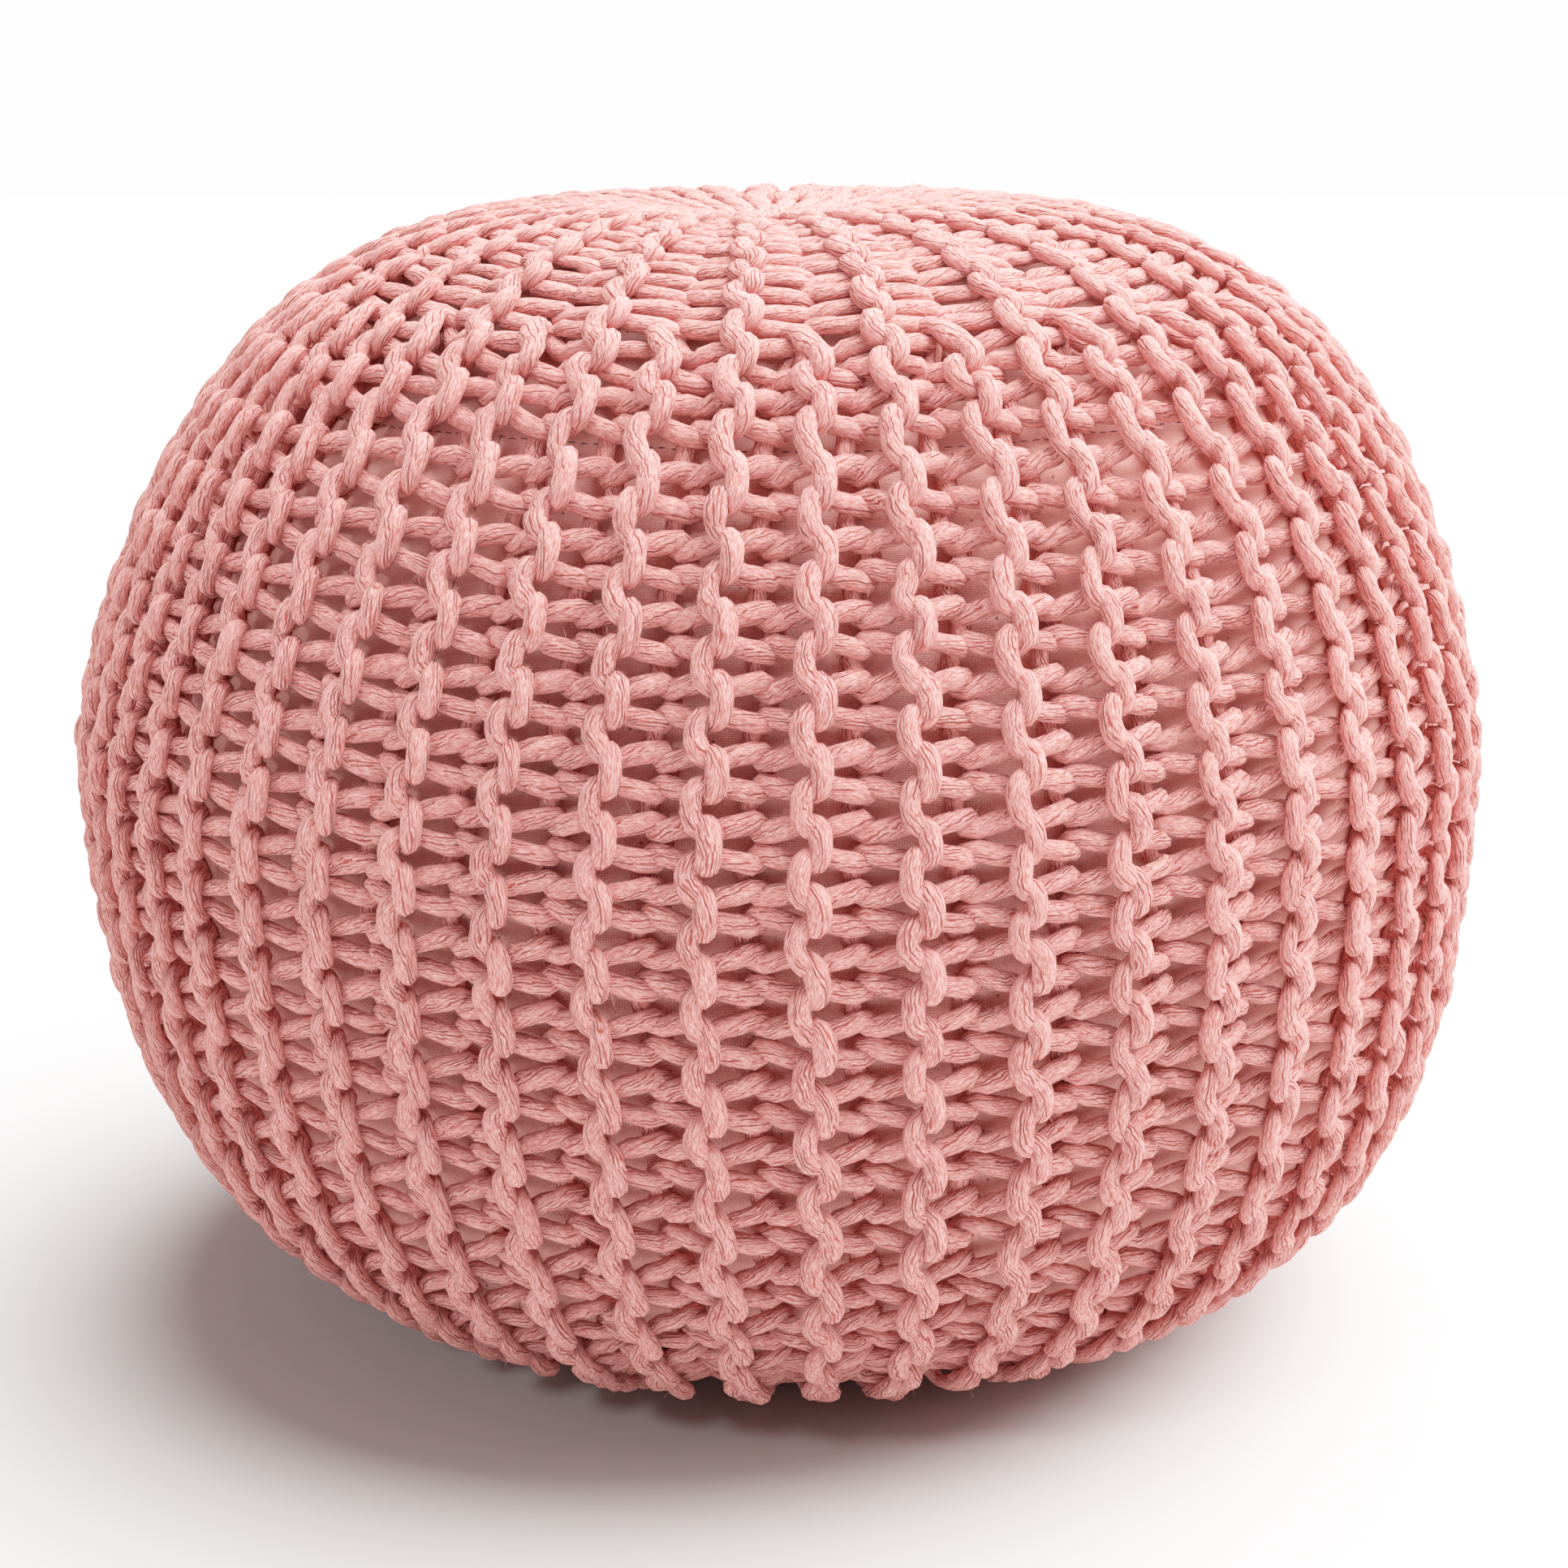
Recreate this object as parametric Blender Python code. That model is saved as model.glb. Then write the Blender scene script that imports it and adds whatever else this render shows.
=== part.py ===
# A round knitted floor pouf: a chunky knitted cover, worked in rows that run from the top
# centre to the bottom centre, over a filled inner casing. Metres, +Z up, front at -Y,
# origin in the middle of the flat foot's level, under the centre of the bounding box.
from functools import lru_cache

import bmesh
import bpy
import numpy as np

# Driving dimensions of the whole pouf, over the crests of its ribs
DIAMETER = 0.500
HEIGHT = 0.386
WIDEST_LEVEL = 0.527          # height of the widest level, as a share of HEIGHT
# Each half's outline is radius = (1 - rise ** steep) ** (1 / flat), a superellipse
TOP_STEEP, TOP_FLAT = 1.3, 4.6
BOTTOM_STEEP, BOTTOM_FLAT = 2.4, 4.8
FOOT_PRESS = 0.0022           # the weight presses this much of the bottom flat
DIMPLE_DEPTH = 0.007          # the drawn-together centre of the top
DIMPLE_RADIUS = 0.032
TOP_TILT = 0.016              # the top leans down to the right by this slope

# How far the middle drifts to the right at each share of the height
DRIFT_HEIGHT = (0.00, 0.10, 0.25, 0.50, 0.80, 1.00)
DRIFT_SIDEWAYS = (0.0080, 0.0055, 0.0030, 0.0000, 0.0022, 0.0025)
# Slow swells of the filling: lobes round the pouf, share of the radius, phase in radians
SWELL_LOBES = (2, 3, 5)
SWELL_SHARE = (0.006, 0.005, 0.003)
SWELL_PHASE = (0.6, 2.1, 4.4)

# The knitted cover
RIBS = 52                     # every other one starts at the shoulder, on a short row
SHORT_ROW_REACH = 0.162       # from the top centre to the ends of the short rows
SHORT_ROW_START = 0.008       # a short row's rib rises to its full height in this length
RIB_RELIEF = 0.0065           # crest of a rib above the bars between the ribs
RIB_ANGLE = 0.030             # the front rib stands this far to the right of the middle
RIB_WIDTH = 0.0155            # at its foot
CREST_WIDTH = 0.0095          # its flat top
LONG_RIB_SHARE = 0.70         # most that a half rib takes of the rib spacing near a centre
FILLED_SHARE = 0.95           # most that two half ribs take of it
COVER_THICKNESS = 0.0180      # three layers of cord, to the crest
GATHER_REACH = 0.022          # the ribs merge this close to the gathered centre
OPEN_REACH = 0.052            # and have their full relief from here on
EYELET_RADIUS = 0.006         # where the cover is drawn shut under the pouf
FOOT_FLAT_REACH = 0.118       # the ribs are pressed flat up to here under the pouf
FOOT_FADE = 0.020             # and rise to their full height in this length
CLEARANCE = 0.0003            # gap between the cover and the casing

# Rows of points from centre to centre
TOP_ROWS = 4
SIDE_ROWS = 15
FOOT_ROWS = 4
INNER_ROWS = 16

CORD_COLOUR = (0.807, 0.470, 0.436, 1.0)
CASING_COLOUR = (0.680, 0.370, 0.340, 1.0)
OUTLINE_SAMPLES = 4000


def clear_scene():
    for item in list(bpy.data.objects):
        bpy.data.objects.remove(item, do_unlink=True)


def cloth_material(name, colour, roughness):
    material = bpy.data.materials.new(name)
    material.use_nodes = True
    shader = material.node_tree.nodes["Principled BSDF"]
    shader.inputs["Base Color"].default_value = colour
    shader.inputs["Roughness"].default_value = roughness
    shader.inputs["Metallic"].default_value = 0.0
    material.diffuse_color = colour
    return material


@lru_cache(maxsize=None)
def outline(inset):
    """Radius and height from the top centre to the bottom centre, moved in by inset."""
    turn = np.linspace(np.pi, 0.0, OUTLINE_SAMPLES)
    upper = np.cos(turn) < 0.0
    steep = np.where(upper, TOP_STEEP, BOTTOM_STEEP)
    flat = np.where(upper, TOP_FLAT, BOTTOM_FLAT)
    rise = np.abs(np.cos(turn)) ** (2.0 / steep)
    radius = DIAMETER / 2.0 * np.clip(1.0 - rise ** steep, 0.0, 1.0) ** (1.0 / flat)
    full_height = HEIGHT + FOOT_PRESS
    widest = full_height * WIDEST_LEVEL
    height = widest + np.where(upper, full_height - widest, -widest) * rise
    height = np.maximum(height, FOOT_PRESS) - FOOT_PRESS
    height -= DIMPLE_DEPTH * np.exp(-(radius / DIMPLE_RADIUS) ** 2) * upper
    run, climb = np.gradient(radius), np.gradient(height)
    length = np.hypot(run, climb)
    radius = radius + inset * climb / length
    height = height - inset * run / length
    return np.maximum(radius, 0.0), height


def arc_length(radius, height):
    steps = np.hypot(np.diff(radius), np.diff(height))
    return np.concatenate([[0.0], np.cumsum(steps)])


def along(inset, reach):
    """Radius and height at a distance from the top centre, measured on the crests."""
    crest = arc_length(*outline(0.0))
    return tuple(float(np.interp(reach, crest, values)) for values in outline(inset))


def place(radius, height, angle):
    """A point of the uneven pouf from its even radius, height and angle."""
    swell = 1.0
    for lobes, share, phase in zip(SWELL_LOBES, SWELL_SHARE, SWELL_PHASE):
        swell += share * np.sin(lobes * angle + phase)
    x = radius * swell * np.sin(angle)
    y = -radius * swell * np.cos(angle)
    level = height / HEIGHT
    x += np.interp(level, DRIFT_HEIGHT, DRIFT_SIDEWAYS)
    return x, y, height - TOP_TILT * x * level


def rib_angles(radius):
    """Angles of four points across each rib: foot, crest, crest, foot. Near the centres the
    ribs that run all the way take most of the room."""
    spacing = 2.0 * np.pi / RIBS
    half_rib = RIB_WIDTH / 2.0 / radius
    long_half = min(half_rib, spacing * LONG_RIB_SHARE)
    short_half = min(half_rib, spacing * FILLED_SHARE - long_half)
    angles = []
    for rib in range(RIBS):
        half = short_half if rib % 2 else long_half
        crest = half * CREST_WIDTH / RIB_WIDTH
        angles += [RIB_ANGLE + spacing * rib + offset for offset in (-half, -crest, crest, half)]
    return angles


def ribbed_ring(reach, foot_edge):
    """One closed row of the outside, four points to a rib. The ground between the ribs lies
    lower than their crests, but is flush with them at the gathered centre and at the foot."""
    stations = (GATHER_REACH, OPEN_REACH, foot_edge - FOOT_FADE, foot_edge)
    ground = RIB_RELIEF * float(np.interp(reach, stations, (0.0, 1.0, 1.0, 0.0)))
    ring = []
    for index, angle in enumerate(rib_angles(along(0.0, reach)[0])):
        rib, corner = divmod(index, 4)
        present = rib % 2 == 0 or reach >= SHORT_ROW_REACH
        raised = present and corner in (1, 2)
        ring.append(place(*along(0.0 if raised else ground, reach), angle))
    return ring


def plain_ring(inset, reach, columns):
    spacing = 2.0 * np.pi / columns
    return [place(*along(inset, reach), RIB_ANGLE + spacing * column) for column in range(columns)]


def bridge(mesh, ring, following):
    """Faces between two closed rows, of which one may have several points to the other's one."""
    if len(ring) > len(following):
        few, many, flip = following, ring, True
    else:
        few, many, flip = ring, following, False
    ratio = len(many) // len(few)
    for index in range(len(few)):
        next_few = few[(index + 1) % len(few)]
        run = [many[(index * ratio + step) % len(many)] for step in range(ratio + 1)]
        middle = (ratio + 1) // 2
        faces = [(few[index], run[step], run[step + 1]) for step in range(middle - 1)]
        faces.append((few[index], run[middle - 1], run[middle], next_few))
        faces += [(next_few, run[step], run[step + 1]) for step in range(middle, ratio)]
        for corners in faces:
            mesh.faces.new(corners[::-1] if flip else corners)


def loft(rings, first_centre, last_centre):
    """A closed surface through closed rows, with a centre point beyond each end."""
    mesh = bmesh.new()
    rows = [[mesh.verts.new(point) for point in ring] for ring in rings]
    for ring, following in zip(rows, rows[1:]):
        bridge(mesh, ring, following)
    for centre, ring in ((first_centre, rows[0]), (last_centre, rows[-1])):
        middle = mesh.verts.new(centre)
        for index, vertex in enumerate(ring):
            mesh.faces.new((middle, vertex, ring[(index + 1) % len(ring)]))
    bmesh.ops.triangulate(mesh, faces=mesh.faces)
    bmesh.ops.recalc_face_normals(mesh, faces=mesh.faces)
    return mesh


def centre_point(inset, reach):
    return place(0.0, along(inset, reach)[1], 0.0)


def inner_rings(inset, total):
    """The rows of a smooth closed ball inside the cover, from top to bottom."""
    shares = (np.arange(INNER_ROWS) + 0.7) / (INNER_ROWS + 0.4)
    return [plain_ring(inset, share * total, RIBS) for share in shares]


def cover_mesh(total):
    """The outside from top to bottom, in through the drawn-shut eyelet, and up the inside."""
    foot_edge = total - FOOT_FLAT_REACH
    rings = [plain_ring(0.0, GATHER_REACH / 2.0, RIBS)]
    rings.append(ribbed_ring(GATHER_REACH, foot_edge))
    for reach in np.linspace(OPEN_REACH, SHORT_ROW_REACH - SHORT_ROW_START, TOP_ROWS):
        rings.append(ribbed_ring(reach, foot_edge))
    for reach in np.linspace(SHORT_ROW_REACH, foot_edge - FOOT_FADE, SIDE_ROWS):
        rings.append(ribbed_ring(reach, foot_edge))
    rings.append(ribbed_ring(foot_edge, foot_edge))
    for reach in np.linspace(foot_edge, total - EYELET_RADIUS, FOOT_ROWS + 1)[1:-1]:
        rings.append(plain_ring(0.0, reach, RIBS))
    rings.append(plain_ring(0.0, total - EYELET_RADIUS, RIBS // 2))
    rings.append(plain_ring(COVER_THICKNESS, total - EYELET_RADIUS, RIBS // 2))
    rings += inner_rings(COVER_THICKNESS, total)[::-1]
    return loft(rings, centre_point(0.0, 0.0), centre_point(COVER_THICKNESS, 0.0))


def casing_mesh(total):
    """The filled inner casing, one smooth closed body just inside the cover."""
    inset = COVER_THICKNESS + CLEARANCE
    return loft(inner_rings(inset, total), centre_point(inset, 0.0), centre_point(inset, total))


def add_piece(name, mesh, material, collection):
    data = bpy.data.meshes.new(name)
    mesh.to_mesh(data)
    mesh.free()
    data.materials.append(material)
    data.shade_smooth()
    piece = bpy.data.objects.new(name, data)
    collection.objects.link(piece)
    return piece


def stand_on_origin(pieces):
    """Moves all pieces by one step, so that the cover's box stands centred on the origin."""
    corners = np.array([vertex.co for vertex in pieces[0].data.vertices])
    low, high = corners.min(axis=0), corners.max(axis=0)
    for piece in pieces:
        piece.location = (-(low[0] + high[0]) / 2.0, -(low[1] + high[1]) / 2.0, -low[2])


def build():
    clear_scene()
    collection = bpy.data.collections.new("knitted_pouf")
    bpy.context.scene.collection.children.link(collection)
    total = float(arc_length(*outline(0.0))[-1])
    cord = cloth_material("cotton_cord", CORD_COLOUR, 0.92)
    weave = cloth_material("cotton_casing", CASING_COLOUR, 0.95)
    cover = add_piece("knit_cover", cover_mesh(total), cord, collection)
    casing = add_piece("inner_casing", casing_mesh(total), weave, collection)
    stand_on_origin([cover, casing])


build()
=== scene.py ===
import math

import bpy
import numpy as np
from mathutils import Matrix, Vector


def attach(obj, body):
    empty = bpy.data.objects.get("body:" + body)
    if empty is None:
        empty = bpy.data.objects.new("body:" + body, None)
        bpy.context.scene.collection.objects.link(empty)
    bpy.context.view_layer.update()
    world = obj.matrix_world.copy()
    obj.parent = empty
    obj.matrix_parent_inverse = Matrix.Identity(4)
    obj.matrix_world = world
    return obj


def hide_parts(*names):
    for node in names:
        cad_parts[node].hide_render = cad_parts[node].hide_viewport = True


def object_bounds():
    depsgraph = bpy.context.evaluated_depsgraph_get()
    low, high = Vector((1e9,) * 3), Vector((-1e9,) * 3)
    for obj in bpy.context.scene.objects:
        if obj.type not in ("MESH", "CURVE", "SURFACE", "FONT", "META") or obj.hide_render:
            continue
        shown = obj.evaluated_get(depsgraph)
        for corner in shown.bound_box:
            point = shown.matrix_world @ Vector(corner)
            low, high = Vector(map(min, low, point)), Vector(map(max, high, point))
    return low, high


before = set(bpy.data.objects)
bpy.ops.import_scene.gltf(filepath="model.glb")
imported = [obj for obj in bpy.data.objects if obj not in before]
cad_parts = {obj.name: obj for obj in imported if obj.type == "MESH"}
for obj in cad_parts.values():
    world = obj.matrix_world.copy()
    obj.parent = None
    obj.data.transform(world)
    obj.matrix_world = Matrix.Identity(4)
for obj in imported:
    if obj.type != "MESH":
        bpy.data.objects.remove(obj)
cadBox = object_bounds()
print("frame loaded")


def linearColour(hexCode):
    # sRGB hex to the linear values that the shader takes
    channels = [int(hexCode[i:i + 2], 16) / 255.0 for i in (1, 3, 5)]
    return [c / 12.92 if c <= 0.04045 else ((c + 0.055) / 1.055) ** 2.4 for c in channels] + [1.0]


def smoothStep(value, low, high):
    t = np.clip((value - low) / (high - low), 0.0, 1.0)
    return t * t * (3.0 - 2.0 * t)


# The photo's view: from the front and a little above
camera = {
    "distance": 1.00,          # from the middle of the pouf
    "elevation": 14.6,         # degrees above the horizon
    "lens": 62.9,              # mm, on a sensor this many mm wide
    "sensor": 36.0,
    "aimSideways": 0.0026,     # the pouf stands a little left of and above the picture's middle
    "aimDown": 0.0197,
}


def makeCamera():
    low, high = (np.array(corner) for corner in cadBox)
    middle = (low + high) / 2.0
    tilt = math.radians(camera["elevation"])
    back = np.array([0.0, -math.cos(tilt), math.sin(tilt)])
    up = np.array([0.0, math.sin(tilt), math.cos(tilt)])
    place = middle + camera["distance"] * back
    target = middle + camera["aimSideways"] * np.array([1.0, 0.0, 0.0]) - camera["aimDown"] * up
    data = bpy.data.cameras.new("photoCamera")
    data.lens = camera["lens"]
    data.sensor_width = camera["sensor"]
    eye = bpy.data.objects.new("photoCamera", data)
    bpy.context.scene.collection.objects.link(eye)
    eye.location = place
    eye.rotation_euler = Vector(target - place).to_track_quat("-Z", "Y").to_euler()
    bpy.context.scene.camera = eye


makeCamera()
print("camera placed")


def addNode(tree, kind, settings=None, **inputs):
    # one node with its settings; each input is a value, or a socket to link from
    node = tree.nodes.new(kind)
    for key, value in (settings or {}).items():
        setattr(node, key, value)
    for key, value in inputs.items():
        slot = int(key[2:]) if key.startswith("in") and key[2:].isdigit() else key.replace("_", " ")
        if isinstance(value, bpy.types.NodeSocket):
            tree.links.new(value, node.inputs[slot])
        else:
            node.inputs[slot].default_value = value
    return node


def newMaterial(name):
    material = bpy.data.materials.new(name)
    material.use_nodes = True
    return material, material.node_tree, material.node_tree.nodes["Principled BSDF"]


def meshPiece(name, points, faces, mapped, material, painted=None):
    # a smooth mesh from arrays; a face whose last two corners are equal is a triangle
    sizes = np.where(faces[:, 2] == faces[:, 3], 3, 4)
    keep = np.ones(faces.shape, bool)
    keep[:, 3] = sizes == 4
    mesh = bpy.data.meshes.new(name)
    mesh.vertices.add(len(points))
    mesh.vertices.foreach_set("co", np.asarray(points, np.float32).ravel())
    mesh.loops.add(int(sizes.sum()))
    mesh.loops.foreach_set("vertex_index", faces[keep].astype(np.int32))
    mesh.polygons.add(len(faces))
    starts = np.concatenate([[0], np.cumsum(sizes)[:-1]])
    mesh.polygons.foreach_set("loop_start", starts.astype(np.int32))
    mesh.polygons.foreach_set("use_smooth", np.ones(len(faces), bool))
    for layerName, values in mapped.items():
        layer = mesh.uv_layers.new(name=layerName)
        layer.uv.foreach_set("vector", np.asarray(values[keep], np.float32).ravel())
    for layerName, values in (painted or {}).items():
        layer = mesh.attributes.new(layerName, "FLOAT", "POINT")
        layer.data.foreach_set("value", np.asarray(values, np.float32))
    mesh.update(calc_edges=True)
    mesh.materials.append(material)
    piece = bpy.data.objects.new(name, mesh)
    bpy.context.scene.collection.objects.link(piece)
    return piece


# The pouf's form over the crests of its ribs, a few millimetres from the CAD model's
poufForm = {
    "diameter": 0.500, "height": 0.386, "widestLevel": 0.531,
    "topSteep": 1.356, "topFlat": 3.85, "bottomSteep": 2.62, "bottomFlat": 4.30,
    "footPress": 0.0022, "dimpleDepth": 0.009, "dimpleRadius": 0.040, "topTilt": -0.006,
    # the top is drawn together left of the middle, and nearer to the front
    "gatherSideways": -0.0100, "gatherForward": 0.025, "gatherRadius": 0.085,
    "driftHeight": (0.00, 0.10, 0.25, 0.50, 0.80, 1.00),
    "driftSideways": (0.0080, 0.0055, 0.0030, 0.0000, 0.0030, 0.0036),
    "swells": ((2, 0.006, 0.6), (3, 0.005, 2.1), (5, 0.003, 4.4)),   # lobes, share, phase
    "samples": 6000, "boxSamples": (400, 360),     # along the outline; along and round, for the box
}


def crestOutline():
    # radius, height and outward direction at even distances from the top centre
    form = poufForm
    turn = np.linspace(np.pi, 0.0, form["samples"])
    upper = np.cos(turn) < 0.0
    steep = np.where(upper, form["topSteep"], form["bottomSteep"])
    flat = np.where(upper, form["topFlat"], form["bottomFlat"])
    rise = np.abs(np.cos(turn)) ** (2.0 / steep)
    radius = form["diameter"] / 2.0 * np.clip(1.0 - rise ** steep, 0.0, 1.0) ** (1.0 / flat)
    full = form["height"] + form["footPress"]
    widest = full * form["widestLevel"]
    height = widest + np.where(upper, full - widest, -widest) * rise
    height = np.maximum(height, form["footPress"]) - form["footPress"]
    height -= form["dimpleDepth"] * np.exp(-(radius / form["dimpleRadius"]) ** 2) * upper
    reach = np.concatenate([[0.0], np.cumsum(np.hypot(np.diff(radius), np.diff(height)))])
    even = np.linspace(0.0, reach[-1], form["samples"])
    radius, height = np.interp(even, reach, radius), np.interp(even, reach, height)
    run, climb = np.gradient(radius), np.gradient(height)
    length = np.hypot(run, climb)
    return even, radius, height, -climb / length, run / length


outlineReach, outlineRadius, outlineHeight, outlineOut, outlineUp = crestOutline()
fullReach = float(outlineReach[-1])          # from the top centre to the bottom centre


def radiusAt(reach):
    return np.interp(reach, outlineReach, outlineRadius)


def looseShape(reach, angle, depth):
    # a point of the uneven pouf, at a depth under the crests, before it is stood on the floor
    radius = radiusAt(reach) - depth * np.interp(reach, outlineReach, outlineOut)
    height = np.interp(reach, outlineReach, outlineHeight)
    height = height - depth * np.interp(reach, outlineReach, outlineUp)
    swell = 1.0
    for lobes, share, phase in poufForm["swells"]:
        swell = swell + share * np.sin(lobes * angle + phase)
    radius = np.maximum(radius, 0.0) * swell
    level = height / poufForm["height"]
    x = radius * np.sin(angle) + np.interp(level, poufForm["driftHeight"], poufForm["driftSideways"])
    gather = np.exp(-(radius / poufForm["gatherRadius"]) ** 2) * level
    x = x + poufForm["gatherSideways"] * gather
    y = -radius * np.cos(angle) - poufForm["gatherForward"] * gather
    return np.stack([x, y, height - poufForm["topTilt"] * x * level], axis=-1)


def standingShift():
    # the CAD solids stand with their box centred on the origin
    steps, turns = poufForm["boxSamples"]
    reach, angle = np.meshgrid(np.linspace(0.0, fullReach, steps), np.linspace(0.0, 2.0 * np.pi, turns))
    shell = looseShape(reach.ravel(), angle.ravel(), 0.0)
    low, high = shell.min(axis=0), shell.max(axis=0)
    middle = (np.array(cadBox[0]) + np.array(cadBox[1])) / 2.0
    return np.array([middle[0] - (low[0] + high[0]) / 2.0, middle[1] - (low[1] + high[1]) / 2.0, -low[2]])


poufShift = standingShift()


def poufPoint(reach, angle, depth):
    return looseShape(reach, angle, depth) + poufShift


def poufNormal(reach, angle):
    out, up = (np.interp(reach, outlineReach, values) for values in (outlineOut, outlineUp))
    return np.stack([out * np.sin(angle), -out * np.cos(angle), up], axis=-1)


# Garter stitch, knitted sideways: each row of cord runs from the top centre to the bottom centre.
# Two rows clasp each other at the front of a rib, and the next two at the back between the ribs.
knit = {
    "ribs": 52, "firstRib": 0.038,                     # radians to the right of the middle
    "frontStretch": 0.035, "topStretch": 0.05,         # share that the ribs spread out in front
    "stretchReach": (0.16, 0.30),                      # m from the centre, from the top's to the side's
    "backShift": 0.12,                                 # radians that the ribs are turned at the back
    # where the stitches of a row lie, in m from the top centre: more open near the top and the foot
    "topHeads": (0.047, 0.069, 0.089, 0.108, 0.126, 0.143, 0.160, 0.178),
    "shortHead": 0.182,                                # every other rib starts here
    "sideHeads": (0.198, 0.225, 0.248, 0.270, 0.291, 0.311, 0.331, 0.351, 0.371, 0.391,
                  0.411, 0.432, 0.455, 0.480, 0.506, 0.531, 0.553),
    "shortRowReach": 0.172, "shortRowBlend": 0.012,    # the rows make room for it from here on
    "midDepth": 8.2,                                   # mm, of the bars between the ribs
    "crowdedSpacing": 9.0,                             # mm, closer rows have smaller loops
    "topLoopShare": 0.74, "loopReach": (-0.03, 0.02),  # and so have the stretched rows of the top
    "topPress": 0.62, "topPressReach": (0.08, 0.24),   # the top is pressed thinner, down from its crests
    "lean": 0.05,                                      # the loops on a rib lean, lower end to the right
    "headJitter": 0.6, "topJitter": 1.3, "sizeJitter": 0.06,     # mm, mm, share
    "barJitter": 0.5, "topBarJitter": 1.1,             # mm, how far bars lie out of their layer
    "slopeReach": (0.19, 0.30, 0.42), "slopeShare": (0.40, 0.70, 1.0),  # bars slope less near the top
    "topBarTilt": 1.5, "sideBarTilt": 0.5,             # mm, the bars sag between the ribs
    "seed": 41,
}
# Half a stitch, from the middle of its sinker to the middle of its head. The stitch is 21 mm
# long and the clasps are 15 mm apart. Columns in mm: before the head along the row, across
# towards the next row, out of the middle layer.
stitchPitch, stitchSpacing = 21.0, 15.0
halfStitch = np.array([
    (10.5, -2.6, 5.7),       # sinker, lies on the front of the rib
    (8.0, -2.4, 5.7),
    (5.7, -1.6, 5.5),
    (3.9, -0.2, 4.7),        # dives under the other row's head
    (2.9, 1.5, 3.2),
    (3.1, 3.7, 1.2),
    (4.4, 6.9, 0.1),         # bar between the ribs
    (5.3, 10.4, 0.5),
    (6.2, 13.2, 0.1),
    (6.9, 15.2, -2.0),       # goes to the back
    (6.3, 16.8, -4.4),
    (3.7, 17.7, -6.0),
    (0.0, 18.1, -6.3),       # head, lies on the casing
])
stitchForm = {
    "backShare": 0.76,                                 # the back of the knit is flattened by the casing
    "stretchFrom": 2.0, "stretchTo": 13.0,             # mm across, the part that takes up the spacing
    "barFrom": (2.0, 5.0), "barTo": (15.0, 17.5),      # mm across, where a bar begins and ends
    "barMiddle": 9.0, "barHalf": 4.0, "barFlat": 1.0,  # mm, a bar's middle, half length and layer
    "loopHeight": 6.1, "loopTop": 6.0,                 # mm out of the middle layer
    "loopSwing": 8.0,                                  # mm across, more for a loop of twice the size
    "barSink": 3.0,                                    # mm out, where a bar's jitter ends
}

cord = {
    "radius": 3.25, "backRadius": 2.8,                 # mm, on the front of a rib and at the back
    "layerHeight": (0.0, 1.0, 2.4, 4.2, 5.4),          # mm out of the middle layer
    "layerRadius": (3.05, 2.85, 2.15, 2.4),            # squeezed where two rows clasp each other
    "backLayerRadius": (3.05, 3.0, 2.75, 2.75),        # less so at the back
    "flattened": (0.86, 0.74), "widened": (1.08, 1.30),  # pressed flat: on the sides, on the top
    # a short row starts with a strand this much broader, from m to m before its first head
    "startWidth": 1.12, "startBroad": (0.003, 0.008),
    "sides": 8, "segmentsPerStitch": 19,
    "frontDetail": 0.9, "detailHeight": 5.0,           # share of extra segments in the loops; mm out
    "footSaving": 0.55, "footShows": 0.17, "footHidden": 0.14,  # fewer under the pouf: share, m, m
    "bendRoom": 1.05, "leastSqueeze": 0.62,            # how thin a sharp bend squeezes it, as shares
    "bendLength": 2.2,                                 # mm of length that a radian of bend counts as
    "centreStrands": 26, "centreOverlap": 1.7, "leastRadius": 1.5,  # rows that share a centre's room
    "unevenness": 0.06, "bumpSegments": 4,             # share; one bump in so many segments
    "linePieces": 6, "leastRing": 0.002,               # pieces of a line between two points; m
}

# The casing under the knit. The knit's painted light, which lightens its shaded cords between the ribs,
# reads its depth.
casing = {
    "depth": 0.0150,           # under the crests; the back of the knit is pressed into it
    "columns": 128, "rows": 72,
    "capReach": 0.004,         # m, the first row from the centre
    "clothRadius": 0.22,       # m, at which the weave is drawn to size
    "topSeam": 0.207,          # m from the top centre, where the top panel is sewn on
    "sideSeam": -27.6,         # degrees, one of the two seams of the side band
    "threadPitch": 0.0042, "stitchShare": 0.70, "threadRadius": 0.00019,
    "threadOut": 0.6, "stitchSink": 0.0004,      # radii above the cloth; m that a stitch's ends go in
    "seamWander": 0.0012, "seamWaves": 5.0, "seamJitter": 0.0002,    # m, times round the pouf, m
    "sideWander": 0.004, "sideWaves": 30.0,      # radians, radians in a metre
}


def claspSpacing(reach, isLong):
    # from the front clasps to the back ones, in metres; inside the rings only long rows are left
    gap = radiusAt(reach) * np.pi / knit["ribs"]
    if not isLong:
        return gap
    low, high = (knit["shortRowReach"] + side * knit["shortRowBlend"] for side in (-1.0, 1.0))
    return gap * (3.0 - smoothStep(reach, low, high) - smoothStep(fullReach - reach, low, high))


def isLongRib(rib):
    return rib % 2 == 1


def headPlaces(isLong):
    top, side = np.array(knit["topHeads"]), np.array(knit["sideHeads"])
    if not isLong:
        return np.concatenate([[knit["shortHead"]], side])
    return np.concatenate([top, side, fullReach - top[::-1]])


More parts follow.
